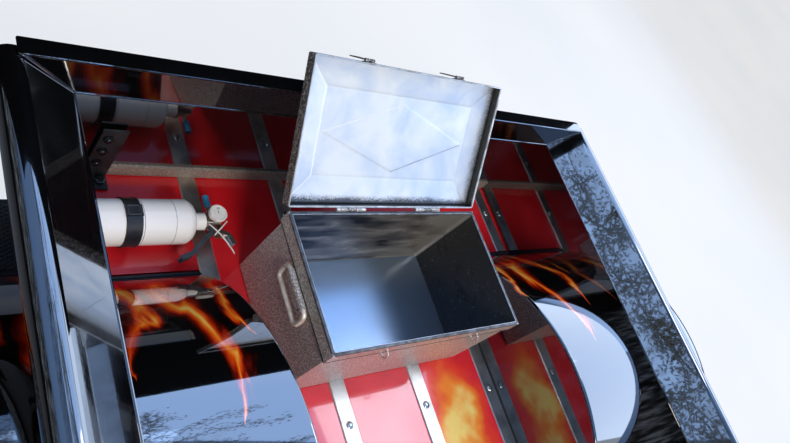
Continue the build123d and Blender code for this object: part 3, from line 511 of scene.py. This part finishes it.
# CAD nodes take a finish by the record's slot, some by their own name
bySlot = dict(
    gloss_black="blackEnamel", red_planks="candyRedLacquer", polished_strips="polishedStainless",
    textured_black="wrinkleCoat", hammertone="hammertoneBox", plated_rod="zincPlatedRod",
    white_enamel="whiteEnamel", plated_valve="nickelPlatedBrass", grey_lever="greyPaintedSteel",
    black_strap="blackStrapPlastic", step_black="blackTreadCoat")
byNode = dict(
    wheel_tub_left="flamedEnamel", wheel_tub_right="flamedEnamel", fender_left="flamedEnamel",
    fender_right="flamedEnamel", toolbox_lid="hammertoneLid", toolbox_hasp_left="hammertoneLid",
    toolbox_hasp_right="hammertoneLid", corner_bracket="satinBlackCoat")
for name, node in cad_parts.items():
    for holder in node.material_slots:
        old = holder.material.name.split(".")[0]
        holder.material = finishes[byNode.get(name, bySlot.get(old, "blackEnamel"))]
print("finishes on", len(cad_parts), "nodes")


# A grid of drawing points (copies, rows, columns, 3) as one mesh, doubles merged, faces outward
def skin(name, body, finish, slot, grid, closeRows=False, closeColumns=False, caps=False, sharp=35, wall=0.0):
    grid = np.asarray(grid, float)
    grid = grid.reshape(-1, *grid.shape[-3:])
    ids = np.arange(grid[..., 0].size).reshape(grid.shape[:3])
    ends = ids[:, 0].tolist() + ids[:, -1].tolist() if caps else []
    if closeRows:
        ids = np.concatenate([ids, ids[:, :1]], axis=1)
    if closeColumns:
        ids = np.concatenate([ids, ids[:, :, :1]], axis=2)
    quads = np.stack([ids[:, :-1, :-1], ids[:, :-1, 1:], ids[:, 1:, 1:], ids[:, 1:, :-1]], axis=-1)
    mesh = bpy.data.meshes.new(name)
    mesh.from_pydata(place(grid).reshape(-1, 3).tolist(), [], quads.reshape(-1, 4).tolist() + ends)
    shell = bmesh.new()
    shell.from_mesh(mesh)
    bmesh.ops.remove_doubles(shell, verts=shell.verts, dist=0.00001)
    bmesh.ops.recalc_face_normals(shell, faces=shell.faces)
    shell.to_mesh(mesh)
    shell.free()
    mesh.shade_smooth()
    mesh.set_sharp_from_angle(angle=math.radians(sharp))
    mesh.materials.append(finishes[finish])
    piece = bpy.data.objects.new(name, mesh)
    bpy.context.scene.collection.objects.link(piece)
    if wall:
        solid = piece.modifiers.new("wall", "SOLIDIFY")
        solid.thickness, solid.offset = wall / 1000, 0
    if body:
        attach(piece, body)
    return piece


looped = dict(closeRows=True, closeColumns=True)   # a section carried round a closed path
capped = dict(closeColumns=True, caps=True)   # a closed section along an open path, both ends shut


def turned(profile, count=20):  # (radius, height) pairs spun round z: x = r cos a, y = r sin a
    r, h = np.asarray(profile, float).T[:, :, None]
    a = np.arange(count) * 2 * math.pi / count
    return np.stack([r * np.cos(a), r * np.sin(a), h + 0 * a], axis=-1)


def hexHead(corner, height, bevel=0.12, count=24):  # radius = corner cos 30 / cos(angle within its side)
    a = np.arange(count) * 2 * math.pi / count
    edge = corner * math.cos(math.pi / 6) / np.cos(np.mod(a, math.pi / 3) - math.pi / 6)
    share = np.array([0, 1 - 2 * bevel, 1, 1, 0])[:, None]
    rise = np.array([1, 1, 1 - bevel * 1.4, 0, 0])[:, None] * height
    r = np.minimum(share * edge, np.where(share == 1, edge, share * corner * 0.98))
    return np.stack([r * np.cos(a), r * np.sin(a), rise + 0 * a], axis=-1)


def stand(grid, spots, axis=(0, 0, 1)):  # a copy of the grid at each spot, its z along the axis
    turn = np.array(Vector((0, 0, 1)).rotation_difference(Vector(axis)).to_matrix())
    return (grid @ turn.T)[None] + np.asarray(spots, float).reshape(-1, 1, 1, 3)


def carry(path, section, up=(0, 0, 1), closed=False):  # point + side * across + lift * upward, along a path
    path, section = np.asarray(path, float), np.asarray(section, float)
    ahead = np.roll(path, -1, 0) - np.roll(path, 1, 0) if closed else np.gradient(path, axis=0)
    side = np.cross(ahead, up)
    side /= np.linalg.norm(side, axis=1, keepdims=True)
    lift = np.cross(side, ahead)
    lift /= np.linalg.norm(lift, axis=1, keepdims=True)
    return path[:, None] + side[:, None] * section[:, :1] + lift[:, None] * section[:, 1:]


def roundedLoop(xs, ys, radius, z, steps=6):  # corner centre + radius (cos a, sin a), a quarter turn each
    a = (np.arange(4)[:, None] * math.pi / 2 + np.linspace(0, math.pi / 2, steps)).ravel()
    middle = np.repeat(np.arange(4) * math.pi / 2 + math.pi / 4, steps)
    x = np.where(np.cos(middle) > 0, xs[1] - radius, xs[0] + radius) + radius * np.cos(a)
    y = np.where(np.sin(middle) > 0, ys[1] - radius, ys[0] + radius) + radius * np.sin(a)
    return np.stack([x, y, np.full_like(x, z)], axis=-1)


def bead(width, height, count=10):  # half-round section: (width / 2 cos a, height sin a), flat side down
    a = np.linspace(0, math.pi, count)
    return np.stack([width / 2 * np.cos(a), height * np.sin(a)], axis=-1)


def rod(radius, count=8):  # round section: radius (cos a, sin a)
    a = np.arange(count) * 2 * math.pi / count
    return radius * np.stack([np.cos(a), np.sin(a)], axis=-1)


def openLid(points):  # the shut lid's points turned by -lidAngle round the hinge line, y and z alone
    a = math.radians(-lidAngle)
    x, y, z = np.moveaxis(np.asarray(points, float), -1, 0)
    y, z = y - lidHinge[1], z - lidHinge[2]
    return np.stack([x, lidHinge[1] + y * math.cos(a) - z * math.sin(a),
                     lidHinge[2] + y * math.sin(a) + z * math.cos(a)], axis=-1)


# Floor of the studio, and the dark board in front of the bed
reach = studio["floorSize"] / 2
low = (cadBox[0][2] - plankTop) * 1000
ground = skin("studioFloor", None, "paperFloor", None, [[(x, -reach, low), (x, reach, low)]
                                                        for x in (-reach, reach)])
half, foot, top, front = studio["flagSize"]
flag = skin("darkFlag", None, "flagCloth", None, [[(x, front, foot), (x, front, top)] for x in (-half, half)])

# Branches: each is a walk whose heading drifts at random, with leaves scattered along it, in a plane that
# faces the bed. Place = direction, the roots' corner and spread, the first heading and the count.
walk = dict(seed=5, distance=3200, steps=46, stride=32, drift=0.17, stem=15, leaf=(38, 13), leaves=6,
            scatter=56)
overhead, ahead = (-0.238, 0.101, 0.966), (0.487, 0.409, 0.772)
rng = np.random.default_rng(walk["seed"])
leaves, stems = [], []
for towards, corner, spread, heading, count in (
        (overhead, (-1500, 150), (1300, 250), 1.2, 6), (overhead, (-500, 650), (700, 300), 0.8, 6),
        (overhead, (-1700, 400), (300, 800), 0.1, 6), (ahead, (350, 1520), (1150, 250), -1.9, 14)):
    axis = np.array(Vector(towards).normalized())
    level = np.cross((0, 0, 1), axis)
    level /= np.linalg.norm(level)
    basis = np.array([level, np.cross(axis, level)])
    middle = (np.array(bedMiddle) - (0, bedFront, plankTop)) * 1000 + axis * walk["distance"]
    turn = heading + rng.normal(0, walk["drift"], (count, walk["steps"])).cumsum(axis=1)
    path = np.array(corner) + rng.random((count, 1, 2)) * spread + walk["stride"] * np.stack(
        [np.cos(turn), np.sin(turn)], axis=-1).cumsum(axis=1)
    half = walk["stem"] / 2 * np.linspace(1, 0.2, walk["steps"])[:, None]
    aside = half * np.stack([-np.sin(turn), np.cos(turn)], axis=-1)
    stems.append(middle + np.stack([path - aside, path + aside], axis=2) @ basis)
    spot = path[:, :, None] + rng.normal(0, walk["scatter"], (count, walk["steps"], walk["leaves"], 2))
    spot = spot.reshape(-1, 2)
    a = rng.uniform(0, math.pi, len(spot))
    tip = walk["leaf"][0] / 2 * np.stack([np.cos(a), np.sin(a)], axis=-1)
    flank = walk["leaf"][1] / 2 * np.stack([-np.sin(a), np.cos(a)], axis=-1)
    leaves.append(middle + np.stack([spot - tip, spot - flank, spot + flank, spot + tip], axis=1).reshape(
        -1, 2, 2, 2) @ basis)
gobos = [flag, skin("branchStems", None, "branchCloth", None, np.concatenate(stems)),
         skin("branchLeaves", None, "branchCloth", None, np.concatenate(leaves))]
for gobo in gobos:
    gobo.visible_camera = gobo.visible_diffuse = gobo.visible_shadow = False

# Bed floor: carriage bolts through the strips into the cross sills
stripBolts = dict(
    strips=(-571, -317.5, -105.5, 105.5, 317.5, 571),
    sills=(-93, -567, -1041, -1515),
    underTub=(571, -567),
    radius=8.5, height=3.4, stripTop=3,
)
sunk = 0.4   # how far trim reaches into what carries it
arc = np.linspace(0, math.pi / 2, 7)
dome = np.stack([stripBolts["radius"] * np.sin(arc), stripBolts["height"] * np.cos(arc)], axis=-1)
dome = [*dome, (stripBolts["radius"], -sunk), (0, -sunk)]
spots = [(x, y, stripBolts["stripTop"]) for x in stripBolts["strips"] for y in stripBolts["sills"]
         if (abs(x), y) != stripBolts["underTub"]]
skin("stripBolts", "bed", "zincPlatedBolt", "polished_strips", stand(turned(dome, 18), spots),
     closeColumns=True)

# Black bead round the wheel tubs' feet and along their inner sides
tubBead = dict(xs=(338, 599), ys=(-219.5, -990.5), width=8, height=4.5)
half = tubBead["width"] / 2
section = [*bead(2 * half, tubBead["height"]), (-half, -sunk), (half, -sunk)]
feet = [carry([(s * x, y, 0) for x in tubBead["xs"]], section) for s in (-1, 1) for y in tubBead["ys"]]
skin("tubFootBeads", "bed", "blackRubber", "black_strap", feet, **capped)
sideBead = dict(x=337.4, ys=(-988.5, -221.5), z=2.6, width=3.4, height=3.2)
sides = [carry([(s * sideBead["x"], y, sideBead["z"]) for y in sideBead["ys"]],
               bead(sideBead["width"], sideBead["height"])) for s in (-1, 1)]
skin("tubSideBeads", "bed", "blackRubber", "black_strap", sides, **capped)

# Rubber welt where each fender meets the bed's side
welt = dict(radius=446, axle=(-605.02, -190), sweep=100, rod=3.5, x=606)
a = np.radians(np.linspace(90 - welt["sweep"], 90 + welt["sweep"], 90))
welts = [carry(np.stack([np.full_like(a, s * welt["x"]), welt["axle"][0] + welt["radius"] * np.cos(a),
                         welt["axle"][1] + welt["radius"] * np.sin(a)], axis=-1), rod(welt["rod"], 10),
               up=(1, 0, 0)) for s in (-1, 1)]
skin("fenderWelts", "bed", "blackRubber", "black_strap", welts, **capped)

# Raised tread on the steps: height = ridges along both diagonals, rounded off
tread = dict(x=(612, 834), y=(-150, -16), top=-94.6, pitch=14, ridge=1.6, width=3.6, slant=1.7, margin=3)
u, v = np.meshgrid(np.linspace(*tread["x"], 175), np.linspace(*tread["y"], 107), indexing="ij")
diagonals = np.stack([u + tread["slant"] * v, u - tread["slant"] * v])
offset = np.abs(np.mod(diagonals, tread["pitch"]) - tread["pitch"] / 2)
ridges = tread["ridge"] * np.clip(1.4 - (offset / (tread["width"] / 2)).min(axis=0), 0, 1)
edge = np.minimum.reduce([u - tread["x"][0], tread["x"][1] - u, v - tread["y"][0], tread["y"][1] - v])
top = tread["top"] + ridges * np.clip(edge / tread["margin"], 0, 1)
treads = np.stack([np.stack([s * u, v, top], axis=-1) for s in (-1, 1)])
skin("stepTreads", "bed", "blackTreadCoat", "step_black", treads, sharp=50, wall=0.6)

# Rounded paint edges that catch the light: both flares' creases, the header's lower edge and the mitres
crease = dict(foot=(600, -20, 257), rear=(600, -1588, 257), top=(682, -13.2, 320.4), rod=1.9)
left, right = ({key: (s * crease[key][0], *crease[key][1:]) for key in ("foot", "rear", "top")}
               for s in (-1, 1))
ends = [(left["foot"], left["rear"]), (right["foot"], right["rear"]), (left["foot"], right["foot"]),
        (left["top"], right["top"]), (left["foot"], left["top"]), (right["foot"], right["top"])]
skin("creaseBeads", "bed", "blackEnamel", "gloss_black", [carry(pair, rod(crease["rod"])) for pair in ends],
     **capped)
print("bed trimmed")

# Toolbox lid: galvanised inner sheet and hammered outer skin over the hipped panel. Rise = the hips' slope,
# less the diamond's step (1 - tanh(distance / width)) / 2, plus a bell-shaped line along hips and field.
lid = dict(
    xs=(-254, 241), ys=(-480, -204), rim=218, top=242, sheet=2, margin=2.3,
    hipFoot=5, hipTop=54, hipRise=6,
    diamond=(0.48, 0.41),   # half width and half depth, as shares of the flat field
    crease=0.7, creaseWidth=1.7,
    bead=0.45, beadWidth=2.0,   # rolled line round the field and up the hips
    inner=1.25, outer=1.35,     # how far each skin lies off the panel
    dents=((-150, -300, 26, 0.5), (-40, -352, 34, -0.6), (60, -300, 30, 0.6), (150, -380, 40, -0.5),
           (-90, -410, 30, 0.45), (110, -250, 24, -0.5), (10, -420, 26, 0.4), (-190, -380, 22, -0.4)),
)
lidLow, lidHigh = np.array([lid["xs"], lid["ys"]], float).T
lidMiddle, lidHalf = (lidLow + lidHigh) / 2, (lidHigh - lidLow) / 2
lidField = lidHalf - lid["hipTop"]   # half sizes of the flat field
diamond = 2 * lidField * lid["diamond"]
u, v = np.meshgrid(*(np.linspace(a + lid["margin"], b - lid["margin"], count)
                     for a, b, count in zip(lidLow, lidHigh, (281, 157))), indexing="ij")


def lidRise(u, v):
    du, dv = np.abs(u - lidMiddle[0]), np.abs(v - lidMiddle[1])
    fromX, fromY = lidHalf[0] - du, lidHalf[1] - dv
    inset = np.minimum(fromX, fromY)
    rise = lid["hipRise"] * np.clip((inset - lid["hipFoot"]) / (lid["hipTop"] - lid["hipFoot"]), 0, 1)
    away = (du / diamond[0] + dv / diamond[1] - 1) / math.hypot(*(1 / diamond))
    onHip = np.where(inset < lid["hipTop"], np.abs(fromX - fromY) / math.sqrt(2), 99)
    onField = np.abs(inset - lid["hipTop"])
    beads = np.exp(-(np.minimum(onHip, onField) / lid["beadWidth"]) ** 2) * np.clip((inset - 6) / 8, 0, 1)
    return rise - 0.5 * lid["crease"] * (1 - np.tanh(away / lid["creaseWidth"])) + lid["bead"] * beads


dents = sum(depth * np.exp(-((u - x) ** 2 + (v - y) ** 2) / size ** 2) for x, y, size, depth in lid["dents"])
dents = 0.7 * dents + 0.1 * np.sin(u / 17 + 1.3 * np.sin(v / 23)) * np.sin(v / 19 + np.sin(u / 31))
sheetZ = lid["top"] - lid["sheet"] - lid["inner"]
skin("lidInnerSheet", "toolbox_lid", "galvanisedSheet", "hammertone",
     openLid(np.stack([u, v, sheetZ + lidRise(u, v) + dents], axis=-1)), sharp=60, wall=0.6)
foot = lidHalf - 8
# Crease lines: the pale ones are painted highlight, the darker one painted shade
highlighted = ([(-diamond[0], 0), (0, -diamond[1])], [-foot, -lidField], [-lidField, lidField * (-1, 1)],
          [lidField * (-1, 1), foot * (-1, 1)])
shaded = ([(diamond[0], 0), (0, diamond[1])],)
share = np.linspace(0, 1, 24)[:, None]
for name, finish, wide, lines in (("highlightCreases", "highlightSheet", 2.6, highlighted),
                                  ("shadeCreases", "shadeSheet", 1.6, shaded)):
    runs = [lidMiddle + np.array(a) * (1 - share) + np.array(b) * share for a, b in lines]
    paths = [np.column_stack([run, sheetZ - 0.25 + lidRise(*run.T)]) for run in runs]
    skin(name, "toolbox_lid", finish, "hammertone",
         [openLid(carry(path, bead(wide, 0.5, 6) * (1, -1))) for path in paths], **capped)
u, v = u[4:-4:2, 4:-4:2], v[4:-4:2, 4:-4:2]
outer = np.stack([u, v, lid["top"] + lid["outer"] + lidRise(u, v)], axis=-1)
skin("lidOuterSkin", "toolbox_lid", "hammertoneLid", "hammertone", openLid(outer), sharp=60, wall=0.6)


def roundBox(inset, radius, z, section):  # (outward, up) pairs carried round the lid's outline, drawn in
    xs, ys = np.transpose([lidLow + inset, lidHigh - inset])
    return carry(roundedLoop(xs, ys, radius, z), section, closed=True)


# Bright rubbed edges round the lid's rim and the box's rim, and a black strip under the box's band as its
# painted shadow
hem = dict(half=1.45, proud=0.4, skirt=3.0)
inner = np.array([(-1, -hem["skirt"]), (-1, 0), (-0.7, hem["proud"])])
section = np.concatenate([inner, inner[::-1] * (-1, 1)]) * (hem["half"], 1)
skin("lidHem", "toolbox_lid", "bareSteelEdge", "plated_rod",
     openLid(roundBox(1, 3, lid["rim"], section * (1, -1))), **looped)
boxRim = [(-3.5, -3.2), (-3.5, 0), (-3.1, 0.35), (-2.2, 0.5), (2.2, 0.5), (3.1, 0.35), (3.3, 0), (3.3, -3.2)]
skin("boxHem", "bed", "hemEnamel", "hammertone", roundBox(3.1, 4, 217, boxRim), **looped)
skin("boxRimEdge", "bed", "bareSteelEdge", "plated_rod", roundBox(6.1, 3, 217.3, bead(0.9, 0.4, 6)), **looped)
shadowStrip = [(-0.6, -1.6), (-0.6, 1.0), (0.35, 1.0), (0.35, -1.6)]
skin("bandShadow", "bed", "dialBlack", "textured_black", roundBox(0, 3, 186.2, shadowStrip), **looped)

# Weld beads in the box's inner corners
weld = dict(inset=6.4, radius=1.7, foot=5.3, ends=(5, 214))
skin("boxFootWeld", "bed", "hammertoneBox", "hammertone",
     roundBox(weld["inset"], 2, weld["foot"], rod(weld["radius"])), **looped)
xs, ys = np.transpose([lidLow + weld["inset"], lidHigh - weld["inset"]])
corners = [carry([(x, y, z) for z in weld["ends"]], rod(weld["radius"]), up=(0, 1, 0))
           for x in xs for y in ys]
skin("boxCornerWelds", "bed", "hammertoneBox", "hammertone", corners, **capped)

# Rivets on the handle brackets and the hinge leaves
rivet = dict(radius=2.8, height=1.3, foot=-0.3, sides=(-252, 239), handles=(-370, -314), handleZ=155,
             hinges=104, pair=26, hingeY=-202.5, hingeZ=200)
head = np.stack([rivet["radius"] * np.sin(arc), rivet["height"] * np.cos(arc)], axis=-1)
head = turned([*head, (rivet["radius"], rivet["foot"]), (0, rivet["foot"])], 12)
rows = [stand(head, [(x, y, rivet["handleZ"]) for y in rivet["handles"]], (turn, 0, 0))
        for x, turn in zip(rivet["sides"], (-1, 1))]
rows.append(stand(head, [(lidMiddle[0] + s * rivet["hinges"] + d, rivet["hingeY"], rivet["hingeZ"])
                         for s in (-1, 1) for d in (-rivet["pair"], rivet["pair"])], (0, 1, 0)))
skin("boxRivets", "bed", "zincPlatedBolt", "plated_rod", np.concatenate(rows), closeColumns=True)
print("toolbox trimmed")

# Extinguisher: gauge with its white bezel, dial, arc and needle
gauge = dict(face=(-312, -132, 80.8), arc=(62, 100), arcRadii=(9.6, 11.2))
bezel = turned([(17.3, -7), (17.9, -5), (17.9, 0.3), (17.2, 1.2), (15.6, 1.4), (14.9, 0.8), (14.7, -0.2),
                (14.7, -1), (17, -1)], 40)
dial = turned([(0, 0.25), (14.9, 0.25), (14.9, -0.5), (0, -0.5)], 40)
a, r = np.meshgrid(np.radians(np.linspace(*gauge["arc"], 9)), gauge["arcRadii"], indexing="ij")
green = np.stack([r * np.cos(a), r * np.sin(a), 0.4 + 0 * a], axis=-1)
needle = np.array([[(-0.5, -2, 0.5), (0.5, -2, 0.5)], [(-0.2, 8, 0.5), (0.2, 8, 0.5)]])
for name, finish, grid, how in (
        ("gaugeBezel", "whiteNylon", bezel, looped),
        ("gaugeDial", "dialWhite", dial, dict(closeColumns=True)),
        ("gaugeArc", "dialGreen", green, dict(wall=0.2)),
        ("gaugeNeedle", "dialBlack", needle, dict(wall=0.4))):
    skin(name, "bed", finish, "white_enamel", stand(grid, gauge["face"]), **how)

# Blue nozzle sleeve and the nylon seal tie
nozzle = turned([(3.1, 0.4), (5.9, 0.4), (6.6, -0.4), (6.5, -7), (6.9, -8), (6.9, -22), (6.3, -26),
                 (6.05, -26), (6.05, -1), (3.1, -1)], 28)
skin("nozzleSleeve", "bed", "blueNozzlePlastic", "white_enamel", stand(nozzle, (-312, -76, 46.3), (0, 1, 0)),
     **looped)
t = np.linspace(0, 1, 24)[:, None]
tie = [(-1.3, -0.4), (-1.3, 0.4), (1.3, 0.4), (1.3, -0.4)]
ends = (((-327, -146, 62), (-303, -174, 66), (-283, -205, 50)),
        ((-286, -139, 60), (-300, -152, 66), (-319, -168, 58)))
ties = [carry((1 - t) ** 2 * np.array(p) + 2 * t * (1 - t) * np.array(q) + t ** 2 * np.array(r), tie)
        for p, q, r in ends]
skin("sealTie", "bed", "whiteNylon", "white_enamel", ties, **capped)

# Strap's raised edges and the frame of its buckle
strap = dict(x=-476.5, radius=44.7, edge=12.6, width=3.0, height=1.1, axle=(-132, 46.3), top=92.6)
b = np.linspace(0, math.pi, 8)
rib = np.stack([strap["radius"] + strap["height"] * np.sin(b), strap["width"] / 2 * np.cos(b)], axis=-1)
skin("strapEdges", "bed", "blackStrapPlastic", "black_strap",
     stand(turned(rib, 72), [(strap["x"] + s * strap["edge"], *strap["axle"]) for s in (-1, 1)], (1, 0, 0)),
     **looped)
buckle = roundedLoop((strap["x"] - 11, strap["x"] + 11), (-141, -123), 3, strap["top"])
skin("buckleFrame", "bed", "greyPaintedSteel", "black_strap", carry(buckle, bead(2.2, 1.2, 7), closed=True),
     **looped)

# Corner bracket: nuts on threaded studs
bracket = dict(x=-510, heights=(52.5, 90, 127.5), face=-10, floorBolt=(-494, -23, 7))
turns = [(6.2 + 0.5 * (i % 2), 8 - 0.7 * i) for i in range(12)]
thread = [(0, 8.6), (5.2, 8.6)] + turns + [(6.2, -sunk), (0, -sunk)]
spots = [(bracket["x"], bracket["face"], z) for z in bracket["heights"]]
skin("bracketStuds", "bed", "blackenedBolt", "polished_strips", stand(turned(thread, 20), spots, (0, -1, 0)),
     closeColumns=True)
nuts = [stand(hexHead(10, 5.5), spots, (0, -1, 0)), stand(hexHead(10, 8.6), [bracket["floorBolt"]])]
skin("bracketNuts", "bed", "blackenedBolt", "textured_black", np.concatenate(nuts), closeColumns=True,
     sharp=25)
print("extinguisher and bracket trimmed")
